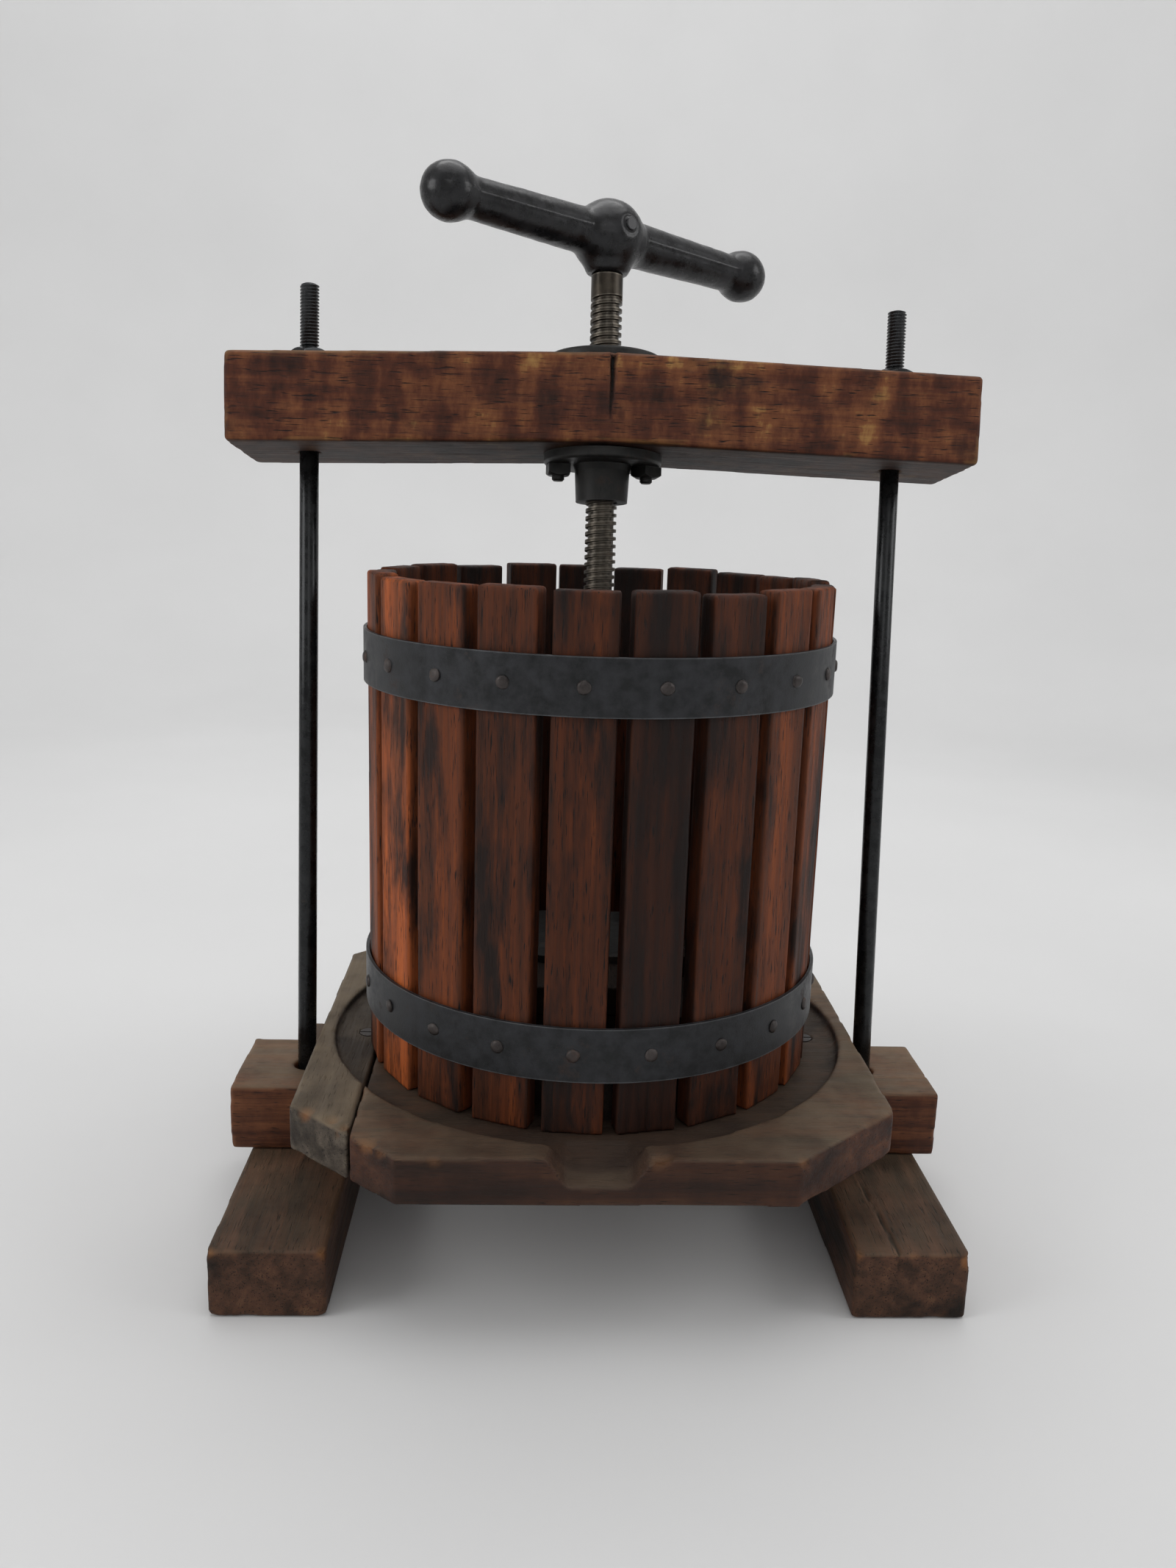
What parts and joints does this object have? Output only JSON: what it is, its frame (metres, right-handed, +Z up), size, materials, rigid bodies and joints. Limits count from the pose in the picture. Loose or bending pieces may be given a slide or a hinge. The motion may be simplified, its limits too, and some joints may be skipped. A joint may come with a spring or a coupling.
{
  "type": "apple cider press",
  "caption": "Table-top cider press: hand screw in a head beam on two rods drives a round follower into a hooped stave basket on a spouted juice tray with runner feet.",
  "frame": {"origin": "on the floor, on the basket's upright axis, at the middle of the press's footprint", "axes": "+Z up, +X to the right seen from the spout side, +Y to the back, away from the spout"},
  "size_m": [0.366, 0.289, 0.513],
  "materials": {
    "stave_oak": "oiled oak, stained dark by use",
    "runner_wood": "bare, dirty and weathered",
    "cross_beam_wood": "worn varnish",
    "head_beam_wood": "worn varnish with dark stains",
    "tray_wood": "dusty, worn",
    "tray_wood_grey": "weathered grey",
    "follower_wood": "stained",
    "strap_iron": "blackened strap with light rust",
    "black_iron": "black, half gloss",
    "dark_steel": "dark, slightly rusty",
    "screw_steel": "worn bright on the thread crests"
  },
  "bodies": {
    "base": {"cross_beam": "cross_beam_wood", "flange_bolts": "dark_steel", "flange_nuts": "dark_steel", "foot_left": "runner_wood", "foot_right": "runner_wood", "head_beam": "head_beam_wood", "rod_left": "dark_steel", "rod_nuts_lower": "dark_steel", "rod_nuts_upper": "dark_steel", "rod_right": "dark_steel", "rod_washers": "dark_steel", "screw_nut": "black_iron", "top_plate": "black_iron", "tray_board_left": "tray_wood_grey", "tray_board_main": "tray_wood", "tray_dowels": "tray_wood", "tray_screws": "dark_steel"},
    "basket": {"stave_01": "stave_oak", "stave_02": "stave_oak", "stave_03": "stave_oak", "stave_04": "stave_oak", "stave_05": "stave_oak", "stave_06": "stave_oak", "stave_07": "stave_oak", "stave_08": "stave_oak", "stave_09": "stave_oak", "stave_10": "stave_oak", "stave_11": "stave_oak", "stave_12": "stave_oak", "stave_13": "stave_oak", "stave_14": "stave_oak", "stave_15": "stave_oak", "stave_16": "stave_oak", "stave_17": "stave_oak", "stave_18": "stave_oak", "stave_19": "stave_oak", "stave_20": "stave_oak", "stave_21": "stave_oak", "hoop_low": "strap_iron", "hoop_high": "strap_iron", "hoop_nails_low": "strap_iron", "hoop_nails_high": "strap_iron", "hoop_rivets": "strap_iron"},
    "follower": {"follower_board_left": "follower_wood", "follower_board_middle": "follower_wood", "follower_board_right": "follower_wood", "batten_front": "follower_wood", "batten_back": "follower_wood", "press_block": "follower_wood", "wear_plate": "black_iron", "follower_screws": "dark_steel"},
    "shoe": {"thrust_shoe": "black_iron", "shoe_pin": "dark_steel"},
    "screw": {"press_screw": "screw_steel", "handle": "black_iron", "handle_pin": "dark_steel"}
  },
  "joints": [
    {"name": "basket_lift", "type": "slide", "parent": "base", "child": "basket", "axis": [0, 0, 1], "range_m": [0, 0.045]},
    {"name": "follower_lift", "type": "slide", "parent": "base", "child": "follower", "axis": [0, 0, 1], "range_m": [0, 0.18582]},
    {"name": "screw_feed", "type": "slide", "parent": "base", "child": "shoe", "axis": [0, 0.1219, 0.9925], "range_m": [0, 0.18721]},
    {"name": "screw_turn", "type": "hinge", "parent": "shoe", "child": "screw", "pos_m": [0, -0.00775, 0.0683], "axis": [0, 0.1219, 0.9925], "range_deg": [0, 17280]}
  ],
  "couplings": [
    {"joint": "screw_feed", "follows": "screw_turn", "m_per_rad": 0.0006207},
    {"joint": "follower_lift", "follows": "screw_turn", "m_per_rad": 0.00061608}
  ]
}
